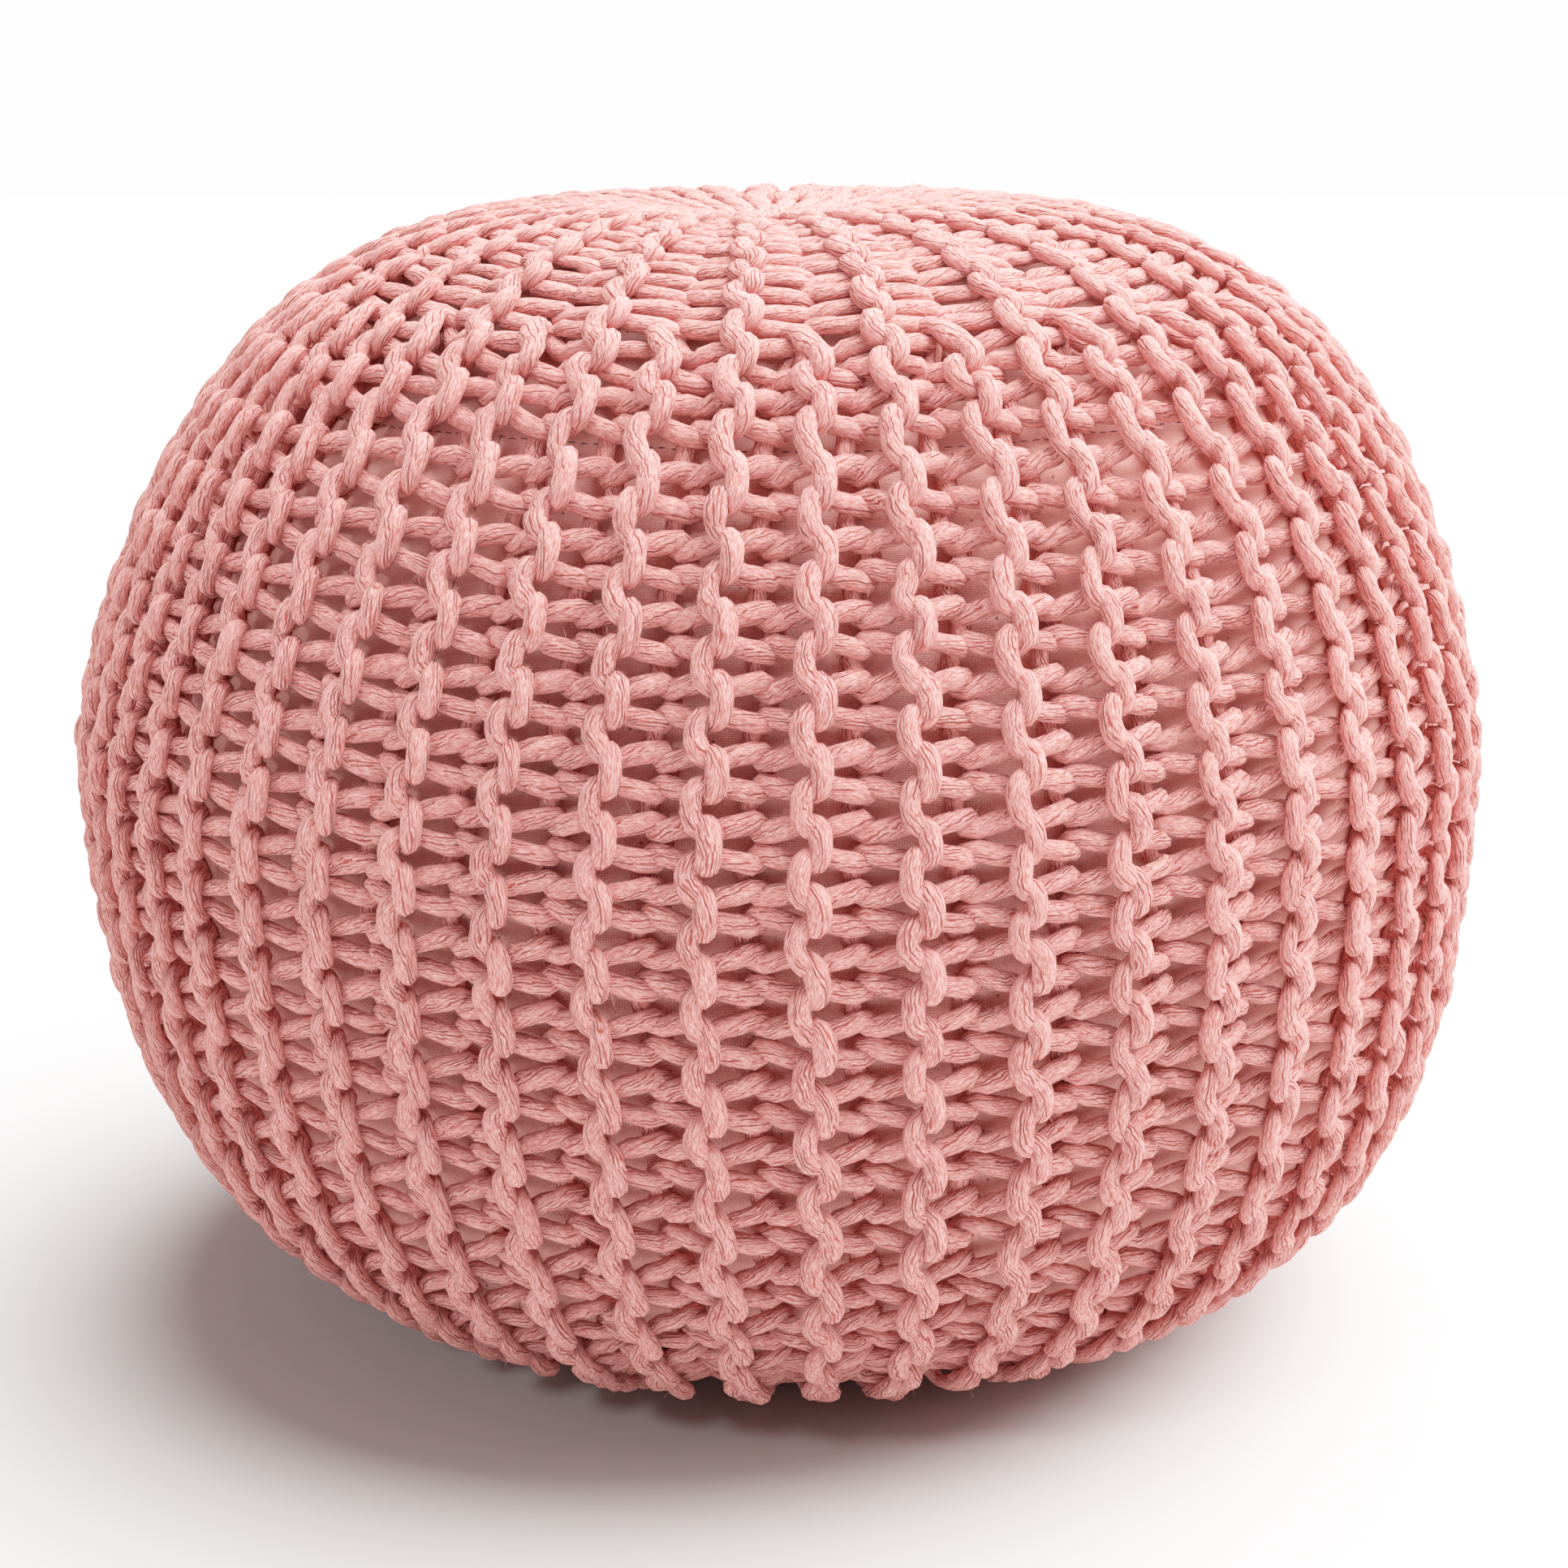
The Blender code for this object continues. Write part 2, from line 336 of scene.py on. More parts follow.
# Slow waves of the whole fabric, which move the stitches a little out of their rows
drift = {
    "waves": 10, "turns": (1, 7),                      # times round the pouf
    "runs": (0.5, 4.0), "phase": (0.0, 6.28),          # times from centre to centre, radians
    "along": 0.45, "across": 0.30,                     # mm
    "fade": (0.03, 0.10),                              # m from a centre, none and all of it
}
driftNoise = np.random.default_rng(knit["seed"])
fabricWaves = [
    (int(driftNoise.integers(*drift["turns"])), driftNoise.uniform(*drift["runs"]),
     driftNoise.uniform(*drift["phase"]), driftNoise.normal(0.0, drift["along"]),
     driftNoise.normal(0.0, drift["across"]))
    for _ in range(drift["waves"])
]


def fabricDrift(reach, angle):
    along, across = 0.0, 0.0
    for turns, runs, phase, alongSize, acrossSize in fabricWaves:
        wave = np.sin(turns * angle + runs * 2.0 * np.pi * reach / fullReach + phase)
        along, across = along + alongSize * wave, across + acrossSize * wave
    fade = smoothStep(np.minimum(reach, fullReach - reach), *drift["fade"])
    return along * fade / 1000.0, across * fade / 1000.0


# How a long row ends at a drawn-together centre. Columns: m from the centre, sideways as a share
# of the rib spacing, mm out of the middle layer.
frontEnd = (
    (0.030, -0.14, 5.8), (0.022, -0.05, 5.4), (0.014, 0.00, 4.8),
    (0.0075, 0.0, 3.4), (0.0030, 0.0, 0.5),
)
backEnd = (
    (0.033, -0.35, 0.0), (0.027, -0.42, 3.0), (0.020, -0.50, 3.4),
    (0.0135, -0.50, 2.0), (0.0085, -0.50, -1.0),
)
endJitter = (0.0012, 0.14, 1.0)      # in the same units: the gathered centre is untidy
# How a short row starts: a broad slanted strand from under the bars above. Columns in mm: before
# the head along the row, across, out of the middle layer.
slantedStart = (
    (16.5, -4.8, -4.0), (16.0, -4.6, 0.5), (13.2, -3.4, 3.9),
    (7.2, -0.8, 5.3), (2.5, 1.9, 5.7),
)


def smoothLine(points, pieces):
    # Catmull-Rom through the points
    ahead, behind = 2.0 * points[-1] - points[-2], 2.0 * points[0] - points[1]
    p = np.vstack([behind, points, ahead])
    t = (np.arange(pieces) / pieces)[None, :, None]
    a, b, c, d = (p[i:len(p) - 3 + i, None, :] for i in range(4))
    curve = 0.5 * (2.0 * b + (c - a) * t + (2.0 * a - 5.0 * b + 4.0 * c - d) * t ** 2
                   + (3.0 * b - a - 3.0 * c + d) * t ** 3)
    return np.vstack([curve.reshape(-1, points.shape[1]), points[-1:]])


def rowRoute(rib, headsInFront, noise):
    # a row's own points: reach (m), sideways and out of the middle layer (mm)
    isLong = isLongRib(rib)
    heads = headPlaces(isLong)
    half = np.diff(heads) / 2.0
    sinkers = np.concatenate([[heads[0] - half[0]], heads[:-1] + half, [heads[-1] + half[-1]]])
    heads, sinkers = (places + noise.normal(0.0, 0.001, len(places))
                      * np.where(places < knit["shortRowReach"], knit["topJitter"], knit["headJitter"])
                      for places in (heads, sinkers))
    along, across, out = halfStitch.T
    inBar = smoothStep(across, *stitchForm["barFrom"]) * (1.0 - smoothStep(across, *stitchForm["barTo"]))
    sag = np.clip((across - stitchForm["barMiddle"]) / stitchForm["barHalf"], -1.0, 1.0)
    sag = sag * (np.abs(out) < stitchForm["barFlat"])
    route = []
    for i, head in enumerate(heads):
        size = 1.0 + noise.normal(0.0, knit["sizeJitter"], 2)
        slope = np.interp(head, knit["slopeReach"], knit["slopeShare"])
        share = along / (stitchPitch / 2.0)
        share = share + (0.5 - share) * (1.0 - slope) * inBar
        isTop = head < knit["shortRowReach"]
        barHeight = knit["topBarJitter"] if isTop else knit["barJitter"]
        tilt = knit["topBarTilt"] if isTop else knit["sideBarTilt"]
        for side, neighbour in ((-1, sinkers[i]), (1, sinkers[i + 1])):
            part = np.stack([head + share * (neighbour - head), across, out], axis=1)
            part[:, 2] *= size[0]
            swing = (size[1] - 1.0) * stitchForm["loopSwing"]
            part[:, 1] += swing * np.abs(part[:, 2]) / stitchForm["loopHeight"]
            # mm below the middle of the loop on the rib, which leans
            below = side * (share - (0.0 if headsInFront else 1.0)) * abs(neighbour - head) * 1000.0
            frontness = part[:, 2] * (-1.0 if headsInFront else 1.0) / stitchForm["loopTop"]
            part[:, 1] += knit["lean"] * below * np.clip(frontness, 0.0, 1.0)
            part[:, 2] -= tilt * sag
            flatness = 1.0 - np.minimum(np.abs(part[:, 2]) / stitchForm["barSink"], 1.0)
            part[:, 2] += noise.normal(0.0, barHeight) * flatness
            part = part if side < 0 else part[::-1]
            route.append(part[1:] if route else part)       # neighbours share a point
    route = np.vstack(route)
    spacing = claspSpacing(route[:, 0], isLong) * 1000.0
    nearBack = smoothStep(route[:, 1], stitchForm["stretchFrom"], stitchForm["stretchTo"])
    fromRing = np.minimum(route[:, 0], fullReach - route[:, 0]) - knit["shortRowReach"]
    fromTop, least = smoothStep(fromRing, *knit["loopReach"]), knit["topLoopShare"]
    loopShare = (least + (1.0 - least) * fromTop) * np.minimum(1.0, spacing / knit["crowdedSpacing"])
    route[:, 1] = nearBack * spacing + (route[:, 1] - nearBack * stitchSpacing) * loopShare
    if headsInFront:
        route[:, 1] -= spacing
        route[:, 2] *= -1.0
    route[:, 2] *= np.where(route[:, 2] < 0.0, stitchForm["backShare"], 1.0)
    if isLong:
        end = np.array(backEnd if headsInFront else frontEnd)[::-1]
        for atFoot in (False, True):
            loose = end + noise.normal(0.0, 1.0, end.shape) * endJitter
            reach = fullReach - loose[:, 0] if atFoot else loose[:, 0]
            sideways = loose[:, 1] * 2.0 * claspSpacing(reach, True) * 1000.0
            strand = np.stack([reach, sideways, loose[:, 2]], axis=1)
            route = np.vstack([route, strand[::-1]]) if atFoot else np.vstack([strand, route])
    elif headsInFront:
        # drop the first half stitch, and start with the slanted strand
        before, across, out = np.array(slantedStart).T
        first, last, slack = heads[0], heads[-1], 0.0005
        inside = (route[:, 0] > first - slack) & (route[:, 0] < last + slack)
        keepFrom, keepTo = np.argmax(inside), len(inside) - np.argmax(inside[::-1])
        top = np.stack([first - before / 1000.0, across, out], axis=1)
        foot = np.stack([last + before / 1000.0, across, out], axis=1)[::-1]
        route = np.vstack([top, route[keepFrom:keepTo], foot])
    else:
        half = len(halfStitch) - 1
        route = route[half:-half]
    return route


def bendSteps(points, visible, count):
    # where along a line to put points: bends and the parts that show get more of them
    chords = np.diff(points, axis=0)
    lengths = np.linalg.norm(chords, axis=1)
    directions = chords / lengths[:, None]
    turns = np.arccos(np.clip((directions[1:] * directions[:-1]).sum(axis=1), -1.0, 1.0))
    extra = turns * cord["bendLength"] / 1000.0 / 2.0
    weight = lengths.copy()
    weight[1:] += extra
    weight[:-1] += extra
    weight *= (visible[1:] + visible[:-1]) / 2.0
    measure = np.concatenate([[0.0], np.cumsum(weight)])
    return np.interp(np.linspace(0.0, measure[-1], count), measure, np.arange(len(points)))


def rowPath(rib, headsInFront, noise):
    # a row's middle line in the room, and its radius, outward direction, depth and flatness there
    isLong = isLongRib(rib)
    route = smoothLine(rowRoute(rib, headsInFront, noise), cord["linePieces"])
    reach, sideways, out = route[:, 0], route[:, 1] / 1000.0, route[:, 2]
    ribAngle = knit["firstRib"] + rib * 2.0 * np.pi / knit["ribs"]
    radius = np.maximum(radiusAt(reach), cord["leastRing"])
    angle = ribAngle + sideways / radius
    fromTop = smoothStep(reach, *knit["stretchReach"])
    stretch = knit["topStretch"] + (knit["frontStretch"] - knit["topStretch"]) * fromTop
    angle = angle + stretch * np.sin(angle)
    angle = angle + knit["backShift"] * (1.0 - np.cos(angle)) / 2.0
    along, across = fabricDrift(reach, angle)
    reach, angle = reach + along, angle + across / radius
    crestOut = halfStitch[0, 2]
    broad = 1.0 - smoothStep(reach, *knit["topPressReach"])      # 1 where the top is pressed flat
    press = 1.0 - knit["topPress"] * broad
    depth = (knit["midDepth"] - crestOut + (crestOut - out) * press) / 1000.0
    line = poufPoint(reach, angle, depth)
    front = np.interp(out, cord["layerHeight"], (*cord["layerRadius"], cord["radius"]))
    back = np.interp(-out, cord["layerHeight"], (*cord["backLayerRadius"], cord["backRadius"]))
    thick = np.where(out > 0.0, front, back) / 1000.0
    room = np.pi * radius / cord["centreStrands"] * cord["centreOverlap"]
    thick = np.minimum(thick, np.maximum(room, cord["leastRadius"] / 1000.0))
    if headsInFront and not isLong:
        nearStart = smoothStep(reach, *(knit["shortHead"] - before for before in cord["startBroad"]))
        thick *= 1.0 + (cord["startWidth"] - 1.0) * nearStart
        broad = np.maximum(broad, nearStart)
    stitches = len(headPlaces(isLong)) + (1 if isLong else 0)
    count = stitches * cord["segmentsPerStitch"] + 1
    visible = 1.0 + cord["frontDetail"] * smoothStep(out, 0.0, cord["detailHeight"])
    hidden = smoothStep(fullReach - reach, cord["footShows"], cord["footHidden"])
    visible *= 1.0 - cord["footSaving"] * hidden
    at = bendSteps(line, visible, count)
    index = np.arange(len(line))
    picked = [np.interp(at, index, values) for values in (*line.T, thick, reach, angle, depth, broad)]
    line = np.stack(picked[:3], axis=1)
    thick, reach, angle, depth, broad = picked[3:]
    # a sharp bend squeezes the cord
    chords = np.diff(line, axis=0)
    lengths = np.linalg.norm(chords, axis=1)
    cosine = (chords[1:] * chords[:-1]).sum(axis=1) / (lengths[1:] * lengths[:-1])
    bend = np.maximum(np.arccos(np.clip(cosine, -1.0, 1.0)), 0.001)
    bendRadius = (lengths[1:] + lengths[:-1]) / 2.0 / bend
    squeeze = np.clip(cord["bendRoom"] * bendRadius / thick[1:-1], cord["leastSqueeze"], 1.0)
    squeeze = np.concatenate([[1.0, 1.0], squeeze, [1.0, 1.0]])
    thick = thick * (squeeze[:-2] + 2.0 * squeeze[1:-1] + squeeze[2:]) / 4.0
    bumps = noise.normal(0.0, 1.0, count // cord["bumpSegments"] + 2)
    uneven = np.interp(np.arange(count) / cord["bumpSegments"], np.arange(len(bumps)), bumps)
    thick = thick * (1.0 + cord["unevenness"] * uneven)
    return line, thick, poufNormal(reach, angle), depth, broad


def carriedFrames(lines):
    # two directions square to each line, carried along it without twisting
    ahead = np.gradient(lines, axis=1)
    ahead /= np.linalg.norm(ahead, axis=2, keepdims=True)
    sideA = np.cross(ahead[:, 0], np.array([0.0, 0.0, 1.0]))
    sideA /= np.linalg.norm(sideA, axis=1, keepdims=True)
    sides = [sideA]
    for i in range(1, lines.shape[1]):
        sideA = sideA - (sideA * ahead[:, i]).sum(axis=1, keepdims=True) * ahead[:, i]
        sideA = sideA / np.linalg.norm(sideA, axis=1, keepdims=True)
        sides.append(sideA)
    sideA = np.stack(sides, axis=1)
    return sideA, np.cross(ahead, sideA)


def roundOffsets(lines, sides):
    # from each line's points to the corners of a tube of radius 1: lines, points along, points round
    sideA, sideB = carriedFrames(lines)
    turn = (np.arange(sides) * 2.0 * np.pi / sides)[:, None]
    return sideA[:, :, None] * np.cos(turn) + sideB[:, :, None] * np.sin(turn)


def cordRings(lines, thick, normals, broad):
    # the corners of each row's cord, and how far out they lie
    offset = roundOffsets(lines, cord["sides"]) * thick[:, :, None, None]
    outward = (offset * normals[:, :, None]).sum(axis=3, keepdims=True) * normals[:, :, None]
    widened = np.interp(broad, (0.0, 1.0), cord["widened"])[:, :, None, None]
    flattened = np.interp(broad, (0.0, 1.0), cord["flattened"])[:, :, None, None]
    outward, sideways = outward * flattened, (offset - outward) * widened
    rings = lines[:, :, None] + outward + sideways
    rings[..., 2] = np.maximum(rings[..., 2], cadBox[0][2])      # the floor presses the lowest cords flat
    return rings, (outward * normals[:, :, None]).sum(axis=3)


def quadMap(start, end, side, sides):
    # the map of the faces between two rings: along from start to end, and round by one side
    corners = ((start, side), (start, side + 1), (end, side + 1), (end, side))
    stacked = [np.stack((along, place / sides), axis=-1) for along, place in corners]
    return np.stack(stacked, axis=2).reshape(-1, 4, 2)


def cordFaces(rings, lines, firstVertex):
    # vertices and faces of one row, with its maps along the cord, in metres and in steps
    count, sides = rings.shape[:2]
    points = np.vstack([rings.reshape(-1, 3), lines[:1], lines[-1:]])
    i, j = np.meshgrid(np.arange(count - 1), np.arange(sides), indexing="ij")
    after = (j + 1) % sides
    near, far = i * sides, (i + 1) * sides
    faces = np.stack([near + j, near + after, far + after, far + j], axis=-1).reshape(-1, 4)
    run = np.concatenate([[0.0], np.cumsum(np.linalg.norm(np.diff(lines, axis=0), axis=1))])
    mapped, steps = quadMap(run[i], run[i + 1], j, sides), quadMap(i, i + 1, j, sides)
    caps, capMap, capSteps = [], [], []
    for centre, ring, order in ((count * sides, 0, 1), (count * sides + 1, count - 1, -1)):
        for side in range(sides):
            a, b = ring * sides + side, ring * sides + (side + 1) % sides
            caps.append((centre, b, a, a) if order > 0 else (centre, a, b, b))
            u, w = side / sides, (side + 1) / sides
            u, w = (w, u) if order > 0 else (u, w)
            capMap.append([(run[ring], place) for place in ((u + w) / 2.0, u, w, w)])
            capSteps.append([(ring, place) for place in ((u + w) / 2.0, u, w, w)])
    faces = np.vstack([faces, np.array(caps)]) + firstVertex
    return points, faces, np.vstack([mapped, np.array(capMap)]), np.vstack([steps, np.array(capSteps)])


def tubeParts(rings, lines):
    # vertices, faces and the two maps of each tube of a piece
    parts, used = [], 0
    for ring, line in zip(rings, lines):
        parts.append(cordFaces(ring, line, used))
        used += len(parts[-1][0])
    return zip(*parts)


def bakeStrips(stepMaps, counts, chunk):
    # lays each row's cord flat in strips of equal length, one under the other, without overlap
    strips = [int(math.ceil((count - 1) / chunk)) for count in counts]
    total, done, laid = sum(strips), 0, []
    margin, rim = 0.06, 0.002          # shares of a strip left free: at its sides, at its ends
    for steps, count, own in zip(stepMaps, counts, strips):
        low = steps[:, :, 0].min(axis=1, keepdims=True)
        which = np.minimum(np.floor(low / chunk), own - 1)
        u = (steps[:, :, 0] - which * chunk) / chunk * (1.0 - 2.0 * rim) + rim
        v = (done + which + margin + steps[:, :, 1] * (1.0 - 2.0 * margin)) / total
        laid.append(np.stack([u, v], axis=-1))
        done += own
    return np.vstack(laid)


def cottonCord():
    # Soft many-ply cotton cord, loosely laid: fine parallel plies with grooves between them, darkened by
    # bump and by painted shade; matt and a little furry, so that the crests look paler than the hollows.
    # Deep between the ribs its colour is lightened with painted light.
    material, tree, shader = newMaterial("cottonCordManyPly")
    look = {
        "crest": "#F5AFA9", "deep": "#FFBFB6", "pale": "#F7BBB5", "groove": "#B2433B", "sheen": "#FFDDD4",
        "plies": 17.0,                 # round the cord, 1.2 mm each
        "lay": 0.0042,                 # m of cord for each ply to move one place round
        "wobbleSwing": 3.0,            # places that the plies swing round
        "ridgePower": 0.6,             # under 1: rounded plies with narrow grooves
        "plyBump": 0.00027, "fibreBump": 0.00028,
        # how often each pattern changes in a mm along the cord and round it, its detail and roughness
        "wobble": ((0.17, 0.30, 0.30), 2.0, 0.5), "patch": ((0.20, 0.70, 0.70), 1.0, 0.5),
        "fibre": ((0.55, 2.8, 2.8), 3.0, 0.6),
    }
    place = addNode(tree, "ShaderNodeTexCoord").outputs["Object"]
    runMap = addNode(tree, "ShaderNodeUVMap", {"uv_map": "cordRun"}).outputs["UV"]
    apart = addNode(tree, "ShaderNodeSeparateXYZ", Vector=runMap)
    run, around = apart.outputs["X"], apart.outputs["Y"]
    # a seamless place on the cord in mm: along, and round a circle of its own radius
    turn = addNode(tree, "ShaderNodeMath", {"operation": "MULTIPLY"}, in0=around, in1=2.0 * math.pi)
    alongMm = addNode(tree, "ShaderNodeMath", {"operation": "MULTIPLY"}, in0=run, in1=1000.0)
    circle = []
    for operation in ("COSINE", "SINE"):
        share = addNode(tree, "ShaderNodeMath", {"operation": operation}, in0=turn.outputs[0])
        circle.append(addNode(tree, "ShaderNodeMath", {"operation": "MULTIPLY"},
                              in0=share.outputs[0], in1=cord["radius"]).outputs[0])
    cordPlace = addNode(tree, "ShaderNodeCombineXYZ", X=alongMm.outputs[0], Y=circle[0], Z=circle[1])
    # the patterns that follow the cord: slow wobbles, patches, and short fibres along the plies
    patterns = []
    for perMm, detail, roughness in (look["wobble"], look["patch"], look["fibre"]):
        scaled = addNode(tree, "ShaderNodeVectorMath", {"operation": "MULTIPLY"},
                         in0=cordPlace.outputs[0], in1=perMm)
        patterns.append(addNode(tree, "ShaderNodeTexNoise", Vector=scaled.outputs[0], Scale=1.0,
                                Detail=detail, Roughness=roughness).outputs["Fac"])
    wobble, patch, fibres = patterns
    swing = look["wobbleSwing"]
    shift = addNode(tree, "ShaderNodeMath", {"operation": "MULTIPLY_ADD"},
                    in0=wobble, in1=swing, in2=-swing / 2.0)
    lay = addNode(tree, "ShaderNodeMath", {"operation": "MULTIPLY_ADD"},
                  in0=run, in1=1.0 / look["lay"], in2=shift.outputs[0])
    ply = addNode(tree, "ShaderNodeMath", {"operation": "MULTIPLY_ADD"},
                  in0=around, in1=look["plies"], in2=lay.outputs[0])
    phase = addNode(tree, "ShaderNodeMath", {"operation": "MULTIPLY"}, in0=ply.outputs[0], in1=math.pi)
    wave = addNode(tree, "ShaderNodeMath", {"operation": "SINE"}, in0=phase.outputs[0])
    ridge = addNode(tree, "ShaderNodeMath", {"operation": "ABSOLUTE"}, in0=wave.outputs[0])
    ridge = addNode(tree, "ShaderNodeMath", {"operation": "POWER"},
                    in0=ridge.outputs[0], in1=look["ridgePower"])
    grooveDepth = addNode(tree, "ShaderNodeMath", {"operation": "SUBTRACT"}, in0=1.0, in1=ridge.outputs[0])
    # some grooves are closed over by their neighbours
    openness = addNode(tree, "ShaderNodeMapRange", {"interpolation_type": "SMOOTHSTEP"},
                       Value=patch, From_Min=0.34, From_Max=0.56, To_Min=0.25, To_Max=1.2)
    groove = addNode(tree, "ShaderNodeMath", {"operation": "MULTIPLY"},
                     in0=grooveDepth.outputs[0], in1=openness.outputs["Result"])
    # some plies lie tight together and others stand apart, with a deeper groove between them in the bump
    # and a dark line of painted shade
    lineNumber = addNode(tree, "ShaderNodeMath", {"operation": "ROUND"}, in0=ply.outputs[0])
    apartness = addNode(tree, "ShaderNodeTexWhiteNoise", {"noise_dimensions": "1D"},
                        W=lineNumber.outputs[0])
    lineDepth = addNode(tree, "ShaderNodeMapRange", Value=apartness.outputs["Value"],
                        From_Min=0.25, From_Max=0.75, To_Min=0.30, To_Max=1.6)
    groove = addNode(tree, "ShaderNodeMath", {"operation": "MULTIPLY"},
                     in0=groove.outputs[0], in1=lineDepth.outputs["Result"])
    height = addNode(tree, "ShaderNodeMath", {"operation": "MULTIPLY"}, in0=groove.outputs[0], in1=-1.0)
    plyBump = addNode(tree, "ShaderNodeBump", Strength=1.0, Distance=look["plyBump"],
                      Height=height.outputs[0])
    fibreBump = addNode(tree, "ShaderNodeBump", Strength=1.0, Distance=look["fibreBump"],
                        Height=fibres, Normal=plyBump.outputs[0])
    # each ply took the dye a little differently
    plyNumber = addNode(tree, "ShaderNodeMath", {"operation": "FLOOR"}, in0=ply.outputs[0])
    plyTone = addNode(tree, "ShaderNodeTexWhiteNoise", {"noise_dimensions": "1D"}, W=plyNumber.outputs[0])
    toneRange = addNode(tree, "ShaderNodeMapRange", Value=plyTone.outputs["Value"], To_Max=0.5)
    crest = addNode(tree, "ShaderNodeMix", {"data_type": "RGBA"}, Factor=toneRange.outputs["Result"],
                    in6=linearColour(look["crest"]), in7=linearColour(look["pale"]))
    # painted light: deep between the ribs, where the cord lies in shade, its colour is made a lighter,
    # warmer pink that stands in for light bouncing between the cords
    sunken = addNode(tree, "ShaderNodeAttribute", {"attribute_name": "sunken"}).outputs["Fac"]
    recessPaintedLightShare = addNode(tree, "ShaderNodeMapRange", {"interpolation_type": "SMOOTHSTEP"},
                      Value=sunken, From_Min=0.62, From_Max=0.95)
    crest = addNode(tree, "ShaderNodeMix", {"data_type": "RGBA"}, Factor=recessPaintedLightShare.outputs["Result"],
                    in6=crest.outputs[2], in7=linearColour(look["deep"]))
    # painted shade: the grooves and the gaps between the fibres are darkened in colour, where shade falls
    # between plies and fibres
    paintedGrooveShade = addNode(tree, "ShaderNodeMapRange", Value=groove.outputs[0],
                        From_Min=0.05, From_Max=0.80, To_Max=0.90)
    paintedFibreShade = addNode(tree, "ShaderNodeMapRange", Value=fibres,
                       From_Min=0.38, From_Max=0.62, To_Min=0.80, To_Max=0.0)
    paintedShadeShare = addNode(tree, "ShaderNodeMath", {"operation": "MAXIMUM"},
                      in0=paintedGrooveShade.outputs["Result"], in1=paintedFibreShade.outputs["Result"])
    colour = addNode(tree, "ShaderNodeMix", {"data_type": "RGBA"}, Factor=paintedShadeShare.outputs[0],
                     in6=crest.outputs[2], in7=linearColour(look["groove"]))
    # the dye is a little cloudy over the whole cover
    cloud = addNode(tree, "ShaderNodeTexNoise", Vector=place, Scale=9.0, Detail=2.0)
    cloudTone = addNode(tree, "ShaderNodeMapRange", Value=cloud.outputs["Fac"], To_Min=0.93, To_Max=1.07)
    toned = addNode(tree, "ShaderNodeVectorMath", {"operation": "SCALE"},
                    in0=colour.outputs[2], Scale=cloudTone.outputs["Result"])
    tree.links.new(toned.outputs[0], shader.inputs["Base Color"])
    tree.links.new(fibreBump.outputs[0], shader.inputs["Normal"])
    shader.inputs["Roughness"].default_value = 0.95
    shader.inputs["Specular IOR Level"].default_value = 0.15
    shader.inputs["Sheen Weight"].default_value = 0.24
    shader.inputs["Sheen Roughness"].default_value = 0.36
    shader.inputs["Sheen Tint"].default_value = linearColour(look["sheen"])
    return material


def makeCover():
    material = cottonCord()
    noise = np.random.default_rng(knit["seed"] + 1)
    rows = [(rib, headsInFront) for rib in range(knit["ribs"]) for headsInFront in (False, True)]
    paths = {row: rowPath(*row, noise) for row in rows}
    rings, sunk = {}, {}
    for length in sorted({len(path[0]) for path in paths.values()}):
        alike = [row for row in rows if len(paths[row][0]) == length]
        stacked = (np.stack(values) for values in zip(*(paths[row] for row in alike)))
        lines, thick, normals, depth, broad = stacked
        allRings, outward = cordRings(lines, thick, normals, broad)
        for i, row in enumerate(alike):
            # 0 on the crests of the ribs, 1 at the casing; it sets where the cord's colour is lightened as
            # painted light in the shade
            share = (depth[i][:, None] - outward[i]).ravel() / casing["depth"]
            rings[row], sunk[row] = allRings[i], np.concatenate([share, share[:1], share[-1:]])
    ribsPerPiece, segmentsPerStrip = 4, 200
    pieces = []
    for start in range(0, knit["ribs"], ribsPerPiece):
        own = [row for row in rows if start <= row[0] < start + ribsPerPiece]
        ownLines = [paths[row][0] for row in own]
        points, faces, runs, stepMaps = tubeParts([rings[row] for row in own], ownLines)
        strips = bakeStrips(stepMaps, [len(line) for line in ownLines], segmentsPerStrip)
        piece = meshPiece(f"knitRibs{start // ribsPerPiece + 1:02d}", np.vstack(points), np.vstack(faces),
                          {"OFBake": strips, "cordRun": np.vstack(runs)}, material,
                          {"sunken": np.concatenate([sunk[row] for row in own])})
        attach(piece, "root")
        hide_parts("knit_cover")
        pieces.append(piece)
    count = sum(len(p.data.polygons) for p in pieces)
    print("knitted cover:", len(pieces), "pieces,", count, "faces")
    return paths, rings


coverPaths, coverRings = makeCover()


def thinTubes(name, lines, radius, sides, material):
    # one mesh of many short tubes; lines: tubes, points along, places
    points, faces, _, _ = tubeParts(lines[:, :, None] + roundOffsets(lines, sides) * radius, lines)
    return meshPiece(name, np.vstack(points), np.vstack(faces), {}, material)


fuzz = {
    "fibres": 3000, "radius": 0.00005, "sides": 3,
    "length": (0.002, 0.0045), "rise": (0.15, 0.50), "curl": 0.45,   # m, share that stands off, share
    "scatter": 0.35, "rootDepth": 0.0004,          # share, m that it starts inside the cord
    "leastFacing": 0.1, "lowest": 0.02,            # share outward, m above the floor
    "steps": (0.0, 0.33, 0.67, 1.0),
}


def looseFibre():
    # Single cotton fibres that have worked loose: hair-thin and matt, in the cord's pink
    material, _, shader = newMaterial("looseCottonFibre")
    shader.inputs["Base Color"].default_value = linearColour("#ECAAA3")
    shader.inputs["Roughness"].default_value = 0.9
    return material


